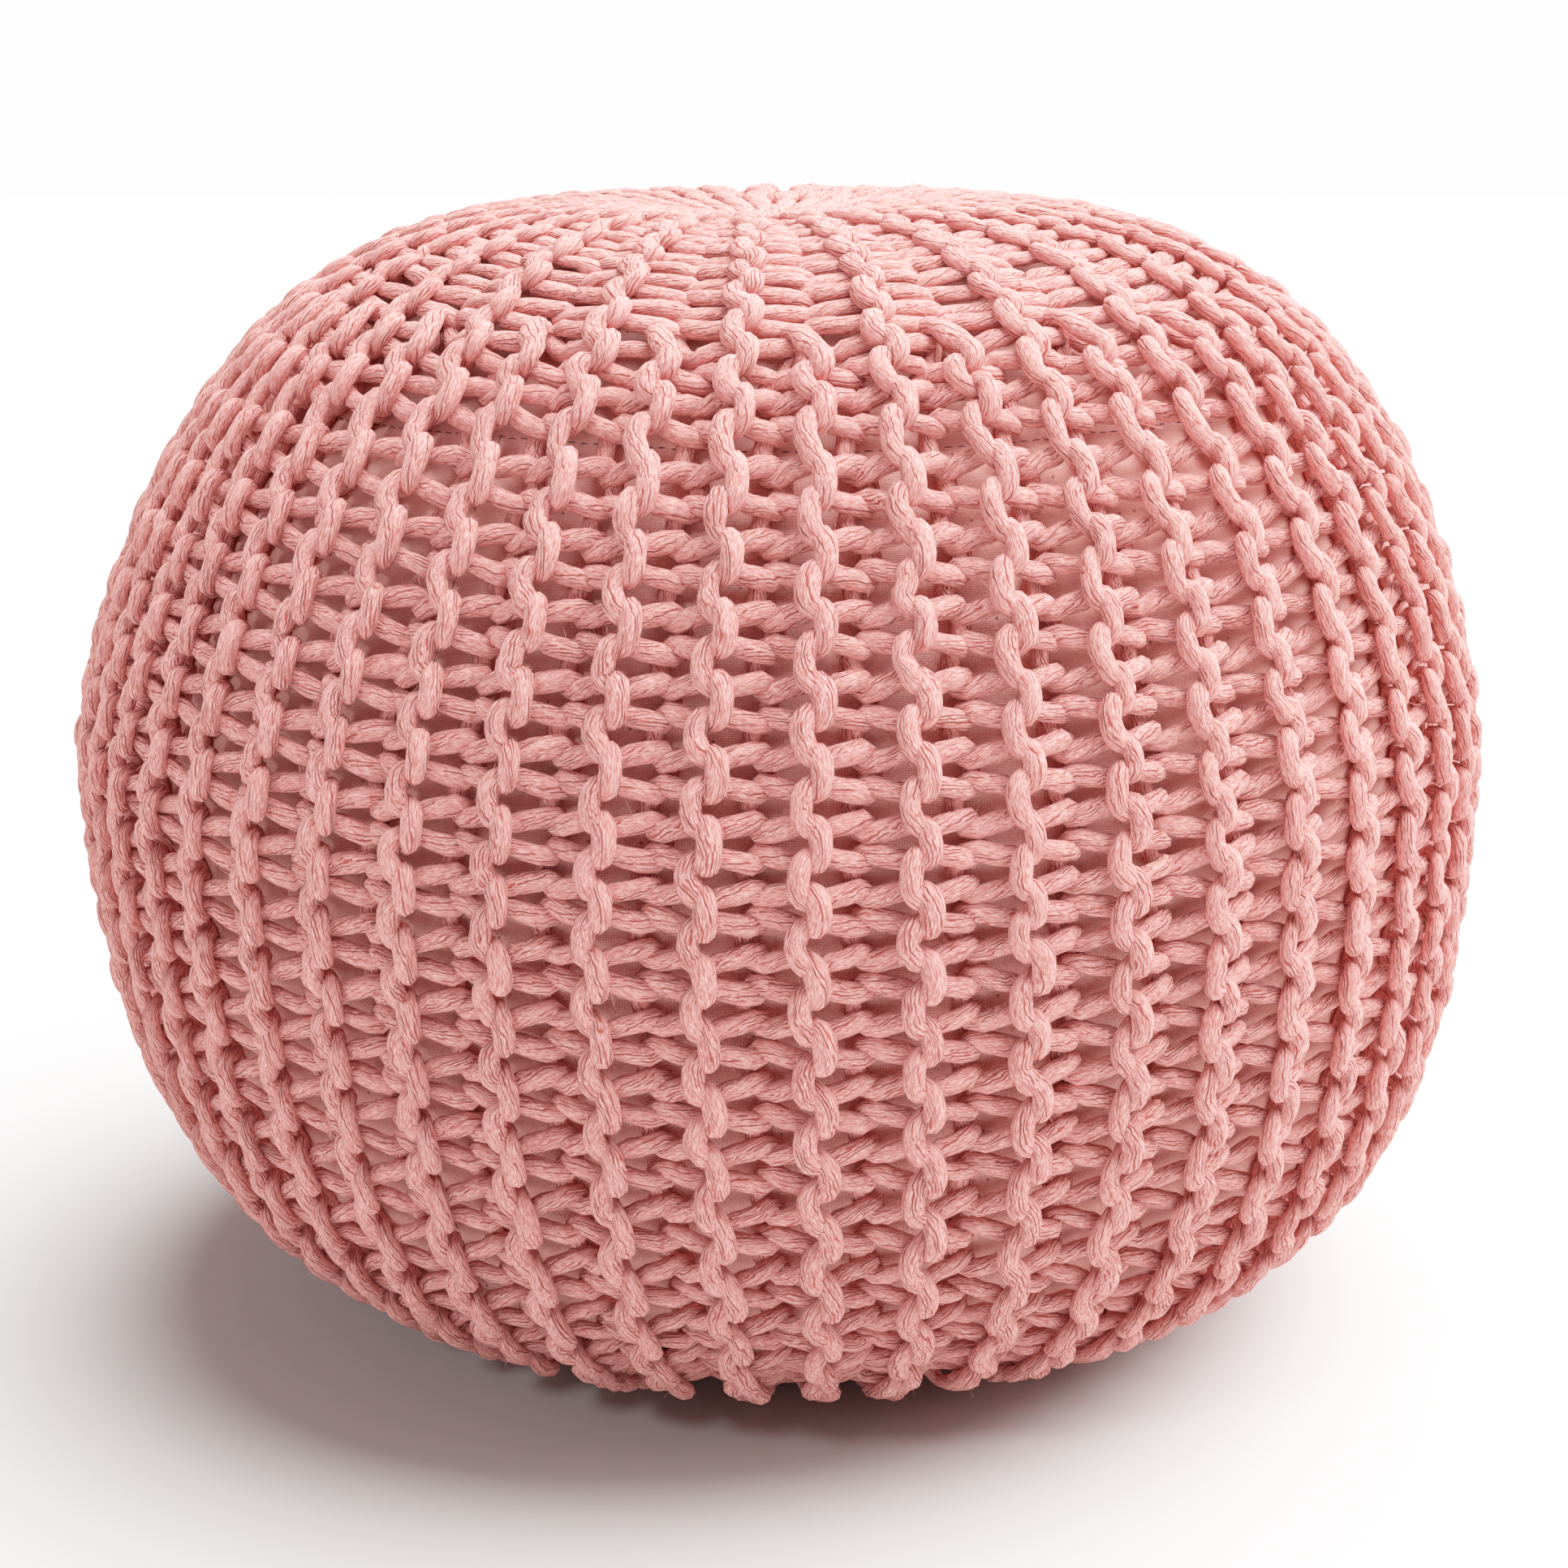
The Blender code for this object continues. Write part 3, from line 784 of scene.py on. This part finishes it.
def makeFuzz():
    noise = np.random.default_rng(knit["seed"] + 3)
    rows = sorted(coverRings)
    starts, offs, alongs = [], [], []
    while len(starts) < fuzz["fibres"]:
        row = rows[noise.integers(len(rows))]
        line, normals = coverPaths[row][0], coverPaths[row][2]
        i, j = noise.integers(2, len(line) - 2), noise.integers(cord["sides"])
        off = coverRings[row][i, j] - line[i]
        off = off / np.linalg.norm(off)
        if off @ normals[i] < fuzz["leastFacing"] or line[i, 2] < fuzz["lowest"]:
            continue                                    # it would not show
        along = line[i + 1] - line[i - 1]
        starts.append(coverRings[row][i, j] - fuzz["rootDepth"] * off)
        offs.append(off)
        alongs.append(along / np.linalg.norm(along))
    starts, offs, alongs = (np.array(values) for values in (starts, offs, alongs))
    count = len(starts)
    length = noise.uniform(*fuzz["length"], count)[:, None]
    rise = noise.uniform(*fuzz["rise"], count)[:, None]
    heading = alongs * noise.choice((-1.0, 1.0), count)[:, None]
    heading = heading + noise.normal(0.0, fuzz["scatter"], (count, 3)) + offs * rise
    heading /= np.linalg.norm(heading, axis=1, keepdims=True)
    curl = noise.normal(0.0, fuzz["curl"], (count, 3))
    steps = [starts + length * (heading * share + curl * share * share) for share in fuzz["steps"]]
    piece = thinTubes("looseFibres", np.stack(steps, axis=1), fuzz["radius"], fuzz["sides"], looseFibre())
    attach(piece, "root")
    print("loose fibres:", count)


makeFuzz()


def cottonCasing():
    # Plain-woven cotton calico in the cord's pink: matt, with a fine weave of painted-shade dots and dark
    # specks.
    # The real weave of 0.45 mm would not show, so it is drawn at 0.7 mm.
    material, tree, shader = newMaterial("cottonCalico")
    look = {
        "thread": "#FFC3B9", "hollow": "#F09A90", "speck": "#7A3F40",
        "weave": 0.0007,               # m from thread to thread
        "nap": 900.0, "specks": 140.0,  # how often they change in a metre
        "dotDepth": -0.40, "bumpDepth": 0.0003,
    }
    place = addNode(tree, "ShaderNodeTexCoord").outputs["Object"]
    clothMap = addNode(tree, "ShaderNodeUVMap", {"uv_map": "clothRun"}).outputs["UV"]
    apart = addNode(tree, "ShaderNodeSeparateXYZ", Vector=clothMap)
    waves = []
    for axis in ("X", "Y"):
        scaled = addNode(tree, "ShaderNodeMath", {"operation": "MULTIPLY"},
                         in0=apart.outputs[axis], in1=2.0 * math.pi / look["weave"])
        waves.append(addNode(tree, "ShaderNodeMath", {"operation": "SINE"}, in0=scaled.outputs[0]))
    # painted shade: the hollow between each four threads is darkened to a small dark dot
    crossed = addNode(tree, "ShaderNodeMath", {"operation": "MINIMUM"},
                      in0=waves[0].outputs[0], in1=waves[1].outputs[0])
    nap = addNode(tree, "ShaderNodeTexNoise", Vector=place, Scale=look["nap"], Detail=2.0)
    dots = addNode(tree, "ShaderNodeMath", {"operation": "MULTIPLY_ADD"},
                   in0=crossed.outputs[0], in1=look["dotDepth"], in2=nap.outputs["Fac"])
    weave = addNode(tree, "ShaderNodeMapRange", Value=dots.outputs[0], From_Min=0.15, From_Max=0.85)
    colour = addNode(tree, "ShaderNodeMix", {"data_type": "RGBA"}, Factor=weave.outputs["Result"],
                     in6=linearColour(look["hollow"]), in7=linearColour(look["thread"]))
    specks = addNode(tree, "ShaderNodeTexVoronoi", Vector=place, Scale=look["specks"])
    isSpeck = addNode(tree, "ShaderNodeMapRange", Value=specks.outputs["Distance"],
                      From_Min=0.05, From_Max=0.09, To_Min=0.7, To_Max=0.0)
    speckled = addNode(tree, "ShaderNodeMix", {"data_type": "RGBA"}, Factor=isSpeck.outputs["Result"],
                       in6=colour.outputs[2], in7=linearColour(look["speck"]))
    bump = addNode(tree, "ShaderNodeBump", Strength=0.8, Distance=look["bumpDepth"],
                   Height=weave.outputs["Result"])
    tree.links.new(speckled.outputs[2], shader.inputs["Base Color"])
    tree.links.new(bump.outputs[0], shader.inputs["Normal"])
    shader.inputs["Roughness"].default_value = 0.96
    shader.inputs["Specular IOR Level"].default_value = 0.12
    shader.inputs["Sheen Weight"].default_value = 0.10
    return material


def seamThread():
    # Polyester sewing thread, dark plum: a hard twisted thread, slightly shiny
    material, _, shader = newMaterial("polyesterSewingThread")
    shader.inputs["Base Color"].default_value = linearColour("#725058")
    shader.inputs["Roughness"].default_value = 0.6
    return material


def gridFaces(rows, columns):
    i, j = np.meshgrid(np.arange(rows - 1), np.arange(columns), indexing="ij")
    after, near, far = (j + 1) % columns, i * columns, (i + 1) * columns
    faces = np.stack([near + j, far + j, far + after, near + after], axis=-1)
    return faces.reshape(-1, 4), i.ravel(), j.ravel()


def makeCasing():
    columns, rows = casing["columns"], casing["rows"]
    reach = np.linspace(casing["capReach"], fullReach - casing["capReach"], rows)
    angle = np.arange(columns) * 2.0 * np.pi / columns
    reachGrid, angleGrid = np.meshgrid(reach, angle, indexing="ij")
    points = poufPoint(reachGrid.ravel(), angleGrid.ravel(), casing["depth"])
    faces, i, j = gridFaces(rows, columns)
    u, v = j / columns, i / (rows - 1)
    du, dv = 1.0 / columns, 1.0 / (rows - 1)
    corners = ((u, v), (u, v + dv), (u + du, v + dv), (u + du, v))
    unit = np.stack([np.stack(corner, axis=-1) for corner in corners], axis=1)
    centres = np.array([poufPoint(0.0, 0.0, casing["depth"]), poufPoint(fullReach, 0.0, casing["depth"])])
    top, foot, lastRow = len(points), len(points) + 1, (rows - 1) * columns
    caps, capUnit = [], []
    for column in range(columns):
        after = (column + 1) % columns
        caps.append((top, column, after, after))
        caps.append((foot, lastRow + after, lastRow + column, lastRow + column))
        left, right = column / columns, (column + 1) / columns
        capUnit.append(((left, 0.0), (left, 0.0), (right, 0.0), (right, 0.0)))
        capUnit.append(((right, 1.0), (right, 1.0), (left, 1.0), (left, 1.0)))
    unit = np.vstack([unit, np.array(capUnit)])
    faces = np.vstack([faces, np.array(caps)])
    cloth = unit * np.array([2.0 * np.pi * casing["clothRadius"], fullReach])
    rim = 0.001                                        # share of the map left free at its edges
    piece = meshPiece("casingCloth", np.vstack([points, centres]), faces,
                      {"OFBake": unit * (1.0 - 2.0 * rim) + rim, "clothRun": cloth}, cottonCasing())
    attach(piece, "root")
    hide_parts("inner_casing")
    print("casing:", len(piece.data.polygons), "faces")


makeCasing()


def makeSeams():
    # dark running stitches that hold the casing's panels together
    noise = np.random.default_rng(knit["seed"] + 2)
    depth = casing["depth"] - casing["threadRadius"] * casing["threadOut"]
    seams = []
    for reach in (casing["topSeam"], fullReach - casing["topSeam"]):
        count = int(2.0 * np.pi * radiusAt(reach) / casing["threadPitch"])
        angle = np.arange(count) * 2.0 * np.pi / count
        half = np.pi / count * casing["stitchShare"]
        wander = casing["seamWander"] * np.sin(casing["seamWaves"] * angle + 1.0)
        wander = wander + noise.normal(0.0, casing["seamJitter"], count)
        seams.append([np.stack([reach + wander, angle + end], axis=1) for end in (-half, half)])
    for degrees in (casing["sideSeam"], casing["sideSeam"] + 180.0):
        reach = np.arange(casing["topSeam"], fullReach - casing["topSeam"], casing["threadPitch"])
        angle = math.radians(degrees) + casing["sideWander"] * np.sin(reach * casing["sideWaves"])
        half = casing["threadPitch"] / 2.0 * casing["stitchShare"]
        seams.append([np.stack([reach + end, angle], axis=1) for end in (-half, half)])
    first, last = (np.vstack([seam[i] for seam in seams]) for i in (0, 1))
    middle = (first + last) / 2.0
    sunk = depth + casing["stitchSink"]
    lines = [poufPoint(*first.T, sunk), poufPoint(*middle.T, depth), poufPoint(*last.T, sunk)]
    lines, sides = np.stack(lines, axis=1), 5
    piece = thinTubes("casingSeamThread", lines, casing["threadRadius"], sides, seamThread())
    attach(piece, "root")
    print("seam stitches:", len(lines))


makeSeams()


studio = {
    "floor": "#D0CECD", "floorSize": 12.0, "floorGap": 0.0002,  # m, m under the pouf
    "backdrop": 1.88, "ambient": 0.15, "aim": (0.0, 0.0, 0.2),
    # a very wide ceiling light: the direction it comes from, degrees, W/m2
    "ceiling": ((0.95, 0.6, 2.0), 80.0, 12.2),
    # name, place, size (m), power (W)
    "lamps": (
        ("frontLeft", (-1.8, -2.1, 2.1), 0.4, 20.5),
        ("frontRight", (2.3, -1.0, 1.7), 1.4, 18.5),
        ("leftFill", (-2.7, -0.5, 0.9), 1.8, 7.0),
    ),
    # how the photograph answers to light: even up to the middle tones, then a soft shoulder, so
    # that bright pink cotton turns paler. Scene light up to 2.0, and the picture's value
    "shoulder": ((0.0, 0.0), (0.6, 0.59), (1.0, 0.79), (1.25, 0.87), (1.6, 0.95), (2.0, 1.0)),
}


def placeLamp(data, place):
    lamp = bpy.data.objects.new(data.name, data)
    bpy.context.scene.collection.objects.link(lamp)
    lamp.location = place
    lamp.rotation_euler = (Vector(studio["aim"]) - Vector(place)).to_track_quat("-Z", "Y").to_euler()


def makeStudio():
    scene = bpy.context.scene
    scene.view_settings.view_transform = "Standard"
    brightest = studio["shoulder"][-1][0]
    scene.view_settings.use_curve_mapping = True
    mapping = scene.view_settings.curve_mapping
    mapping.white_level = (brightest, brightest, brightest)
    points = mapping.curves[3].points
    for light, value in studio["shoulder"][1:-1]:
        points.new(light / brightest, value)
    mapping.update()
    # light that the cords pass on to each other reddens the hollows
    scene.cycles.diffuse_bounces = 8
    level = cadBox[0][2] - studio["floorGap"]
    bpy.ops.mesh.primitive_plane_add(size=studio["floorSize"], location=(0.0, 0.0, level))
    floor = bpy.context.object
    floor.name = "studioFloor"
    # Matt pale-grey paper, which only takes the pouf's soft shadow
    material, _, shader = newMaterial("paperFloor")
    shader.inputs["Base Color"].default_value = linearColour(studio["floor"])
    shader.inputs["Roughness"].default_value = 0.9
    floor.data.materials.append(material)
    world = bpy.data.worlds.new("studioWorld")
    world.use_nodes = True
    # the backdrop looks white to the camera, but lights the pouf only a little
    tree = world.node_tree
    background = tree.nodes["Background"]
    seen = addNode(tree, "ShaderNodeLightPath").outputs["Is Camera Ray"]
    strength = addNode(tree, "ShaderNodeMapRange", Value=seen,
                       To_Min=studio["ambient"], To_Max=studio["backdrop"])
    tree.links.new(strength.outputs["Result"], background.inputs["Strength"])
    background.inputs["Color"].default_value = (1.0, 1.0, 1.0, 1.0)
    scene.world = world
    place, wide, strength = studio["ceiling"]
    ceiling = bpy.data.lights.new("ceiling", "SUN")
    ceiling.angle = math.radians(wide)
    ceiling.energy = strength
    placeLamp(ceiling, place)
    for name, place, size, power in studio["lamps"]:
        data = bpy.data.lights.new(name, "AREA")
        data.shape = "SQUARE"
        data.size = size
        data.energy = power
        placeLamp(data, place)


makeStudio()
print("studio lit")
